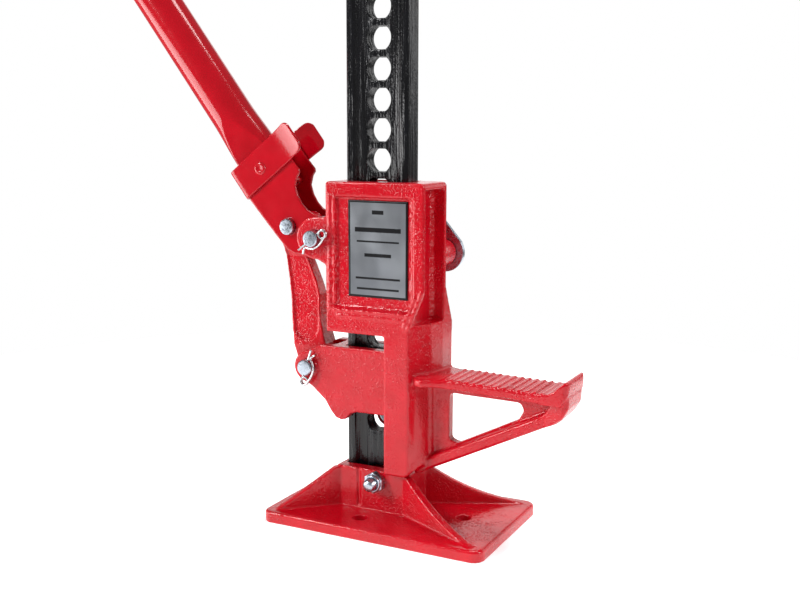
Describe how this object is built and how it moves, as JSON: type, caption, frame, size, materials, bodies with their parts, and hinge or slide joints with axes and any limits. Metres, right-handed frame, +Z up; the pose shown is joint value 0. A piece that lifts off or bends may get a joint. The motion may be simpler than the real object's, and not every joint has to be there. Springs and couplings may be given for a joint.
{
  "type": "rack lifting jack",
  "caption": "Rack-type lifting jack with a toe, a pumping handle, climbing runners, spring pins and a ribbed base plate.",
  "frame": {"origin": "the rack's centre line where it meets the plane of the base's underside", "axes": "+Z up along the rack, +X towards the lifting toe, -Y is the front, the side with the data plate"},
  "size_m": [0.6837, 0.1218, 1.2619],
  "materials": {
    "red_cast_paint": "glossy red enamel over rough cast iron",
    "red_sheet_paint": "smooth glossy red enamel on pressed steel",
    "black_paint": "glossy black enamel",
    "bright_zinc": "bluish bright zinc plating",
    "spring_wire": "bright zinc-plated spring wire",
    "label_foil": "printed silver foil, satin"
  },
  "bodies": {
    "base_and_rack": {"rack_bar": "black_paint", "base_plate": "red_cast_paint", "base_bolt": "bright_zinc", "base_nut": "bright_zinc", "top_clamp": "red_cast_paint", "top_clamp_bolt": "bright_zinc", "top_clamp_nut": "bright_zinc"},
    "lifting_runner": {"large_runner": "red_cast_paint", "data_plate": "label_foil", "handle_pivot_pin": "bright_zinc", "handle_pivot_clip": "spring_wire", "latch_bolt": "bright_zinc", "latch_washer": "bright_zinc", "upper_pin_spring": "spring_wire"},
    "latch": {"reversing_latch": "bright_zinc"},
    "upper_pin": {"upper_climbing_pin": "bright_zinc", "upper_cross_pin": "bright_zinc"},
    "climbing_runner": {"small_runner": "red_cast_paint", "pitman_pin": "bright_zinc", "pitman_pin_clip": "spring_wire", "lower_pin_spring": "spring_wire"},
    "lower_pin": {"lower_climbing_pin": "bright_zinc", "lower_cross_pin": "bright_zinc"},
    "link": {"pitman": "red_cast_paint"},
    "handle": {"handle_tube": "red_sheet_paint", "handle_socket": "red_sheet_paint", "socket_collar": "red_sheet_paint", "collar_rivet": "red_sheet_paint", "link_pin": "bright_zinc"}
  },
  "joints": [
    {"name": "lift", "type": "slide", "parent": "base_and_rack", "child": "lifting_runner", "axis": [0, 0, 1], "range_m": [0, 0.9072]},
    {"name": "handle_swing", "type": "hinge", "parent": "lifting_runner", "child": "handle", "pos_m": [-0.0435, 0, 0.2124], "axis": [0, -1, 0], "range_deg": [-37.6, 50]},
    {"name": "climb", "type": "slide", "parent": "lifting_runner", "child": "climbing_runner", "axis": [0, 0, 1], "range_m": [-0.0246, 0.0185]},
    {"name": "link_swing", "type": "hinge", "parent": "climbing_runner", "child": "link", "pos_m": [-0.0548, 0, 0.1132], "axis": [0, -1, 0], "range_deg": [-0.76, 1.01]},
    {"name": "latch_turn", "type": "hinge", "parent": "lifting_runner", "child": "latch", "pos_m": [0.033, 0, 0.2], "axis": [0, 1, 0], "range_deg": [0, 75]},
    {"name": "upper_pin_slide", "type": "slide", "parent": "lifting_runner", "child": "upper_pin", "axis": [0, 1, 0], "range_m": [0, 0.0114], "stiffness_N_per_m": 900, "springref_m": -0.006, "deforming": ["upper_pin_spring"]},
    {"name": "lower_pin_slide", "type": "slide", "parent": "climbing_runner", "child": "lower_pin", "axis": [0, -1, 0], "range_m": [0, 0.0111], "deforming": ["lower_pin_spring"]}
  ],
  "couplings": [
    {"joint": "climb", "follows": "handle_swing", "m_per_rad": -0.028},
    {"joint": "link_swing", "follows": "handle_swing", "ratio": 0.02}
  ]
}
